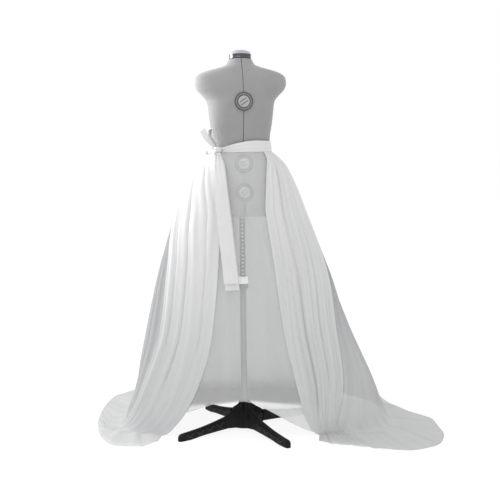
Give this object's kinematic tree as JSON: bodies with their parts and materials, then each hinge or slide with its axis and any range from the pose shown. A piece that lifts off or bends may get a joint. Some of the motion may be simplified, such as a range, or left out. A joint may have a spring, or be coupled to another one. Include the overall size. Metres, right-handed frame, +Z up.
{
  "type": "tulle overskirt on dress form stand",
  "caption": "Long open-front tulle overskirt with layered side panels, a short train and a satin ribbon sash tied in a bow, shown on an adjustable dress form with its telescopic stand.",
  "frame": {"origin": "middle of the footprint on the floor, at the height of the floor", "axes": "+Z up along the pole, the garment's front faces -Y and its train runs back towards +Y, +X is to the viewer's right seen from the front"},
  "size_m": [1.514, 1.08, 1.6162],
  "materials": {
    "sheer_tulle": "one sheer layer of soft tulle",
    "under_tulle": "a few layers of soft tulle",
    "over_tulle": "many layers of soft white tulle",
    "satin": "satin ribbon with a soft sheen",
    "form_fabric": "matt foam-backed jersey",
    "chrome": "polished",
    "cap_plastic": "smooth domed",
    "dial_plastic": "moulded",
    "dial_eye": "moulded",
    "pole_steel": "brushed tube with a printed scale",
    "collar_plastic": "moulded",
    "cup_plastic": "moulded",
    "base_plastic": "ribbed moulding"
  },
  "bodies": {
    "root": {"front_sheer_panel": "sheer_tulle", "side_panel_left": "under_tulle", "side_panel_right": "under_tulle", "back_panel_left": "under_tulle", "back_panel_right": "under_tulle", "over_panel_left": "over_tulle", "over_panel_right": "over_tulle", "sash_band": "satin", "sash_knot": "satin", "bow_loop_upper": "satin", "bow_loop_side": "satin", "bow_loop_lower": "satin", "sash_tail_front": "satin", "sash_tail_rear": "satin", "form_torso": "form_fabric", "neck_band": "chrome", "neck_cap": "cap_plastic", "dial_rim_1": "dial_plastic", "dial_rim_2": "dial_plastic", "dial_rim_3": "dial_plastic", "dial_eye_1": "dial_eye", "dial_eye_2": "dial_eye", "dial_eye_3": "dial_eye", "pole_upper": "pole_steel", "pole_lower": "pole_steel", "pole_collar": "collar_plastic", "pole_cup": "cup_plastic", "base_hub": "base_plastic", "base_leg_front_right": "base_plastic", "base_leg_back_right": "base_plastic", "base_leg_back_left": "base_plastic", "base_leg_front_left": "base_plastic"}
  },
  "joints": []
}
